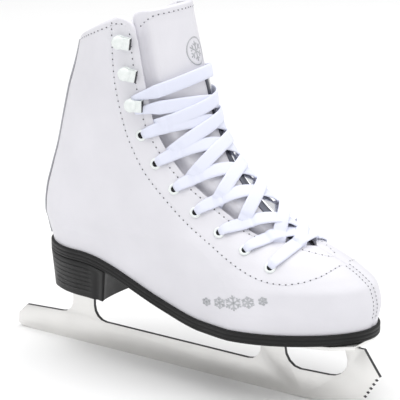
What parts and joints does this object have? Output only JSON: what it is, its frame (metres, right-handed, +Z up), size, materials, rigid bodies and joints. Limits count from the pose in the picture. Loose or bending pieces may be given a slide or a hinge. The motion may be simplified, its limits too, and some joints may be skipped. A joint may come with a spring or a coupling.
{
  "type": "ice skate",
  "caption": "Laced white figure skate with a padded tongue, eyelets and speed hooks, a stacked black heel and a steel blade with toe picks",
  "frame": {"origin": "on the ice, at the blade's lowest line, under the middle of the object's box", "axes": "+X to the toe, +Y to the inner side of the foot, +Z up"},
  "size_m": [0.324, 0.094, 0.269],
  "materials": {
    "white_leather": "semi-matte smooth coated leather",
    "lining_fabric": "brushed knit",
    "moulded_rubber": "satin moulded",
    "fibre_board": "pressed fibre board",
    "blade_steel": "satin ground stainless steel",
    "screw_steel": "bright zinc plated",
    "painted_eyelet": "gloss white enamel",
    "silver_film": "mirror-like metallised film",
    "lace_weave": "flat tubular weave",
    "aglet_plastic": "clear gloss film"
  },
  "bodies": {
    "boot": {"outsole": "moulded_rubber", "heel_block": "moulded_rubber", "insole_board": "fibre_board", "footbed": "lining_fabric", "blade": "blade_steel", "front_sole_plate": "blade_steel", "heel_plate": "blade_steel", "front_screw_1": "screw_steel", "front_screw_2": "screw_steel", "front_screw_3": "screw_steel", "front_screw_4": "screw_steel", "front_screw_5": "screw_steel", "front_screw_6": "screw_steel", "heel_screw_1": "screw_steel", "heel_screw_2": "screw_steel", "heel_screw_3": "screw_steel", "heel_screw_4": "screw_steel", "lateral_quarter": "white_leather", "lateral_facing_reinforcement": "lining_fabric", "lateral_eyelet_1": "painted_eyelet", "lateral_eyelet_2": "painted_eyelet", "lateral_eyelet_3": "painted_eyelet", "lateral_eyelet_4": "painted_eyelet", "lateral_eyelet_5": "painted_eyelet", "lateral_eyelet_6": "painted_eyelet", "lateral_eyelet_7": "painted_eyelet", "lateral_hook_1": "painted_eyelet", "lateral_hook_2": "painted_eyelet", "lateral_hook_3": "painted_eyelet", "medial_quarter": "white_leather", "medial_facing_reinforcement": "lining_fabric", "medial_eyelet_1": "painted_eyelet", "medial_eyelet_2": "painted_eyelet", "medial_eyelet_3": "painted_eyelet", "medial_eyelet_4": "painted_eyelet", "medial_eyelet_5": "painted_eyelet", "medial_eyelet_6": "painted_eyelet", "medial_eyelet_7": "painted_eyelet", "medial_hook_1": "painted_eyelet", "medial_hook_2": "painted_eyelet", "medial_hook_3": "painted_eyelet", "heel_counter": "fibre_board", "toe_puff": "fibre_board", "boot_lining": "lining_fabric", "backstay_strip": "silver_film", "tongue_lower": "white_leather", "tongue_strip": "silver_film", "lace": "lace_weave", "lace_tail_1": "lace_weave", "lace_aglet_1": "aglet_plastic", "lace_tail_2": "lace_weave", "lace_aglet_2": "aglet_plastic"},
    "tongue_top": {"tongue_upper": "white_leather"}
  },
  "joints": [
    {"name": "tongue_flex", "type": "hinge", "parent": "boot", "child": "tongue_top", "pos_m": [-0.0291, -0.0029, 0.234], "axis": [0, 1, 0], "range_deg": [-18, 0]}
  ]
}
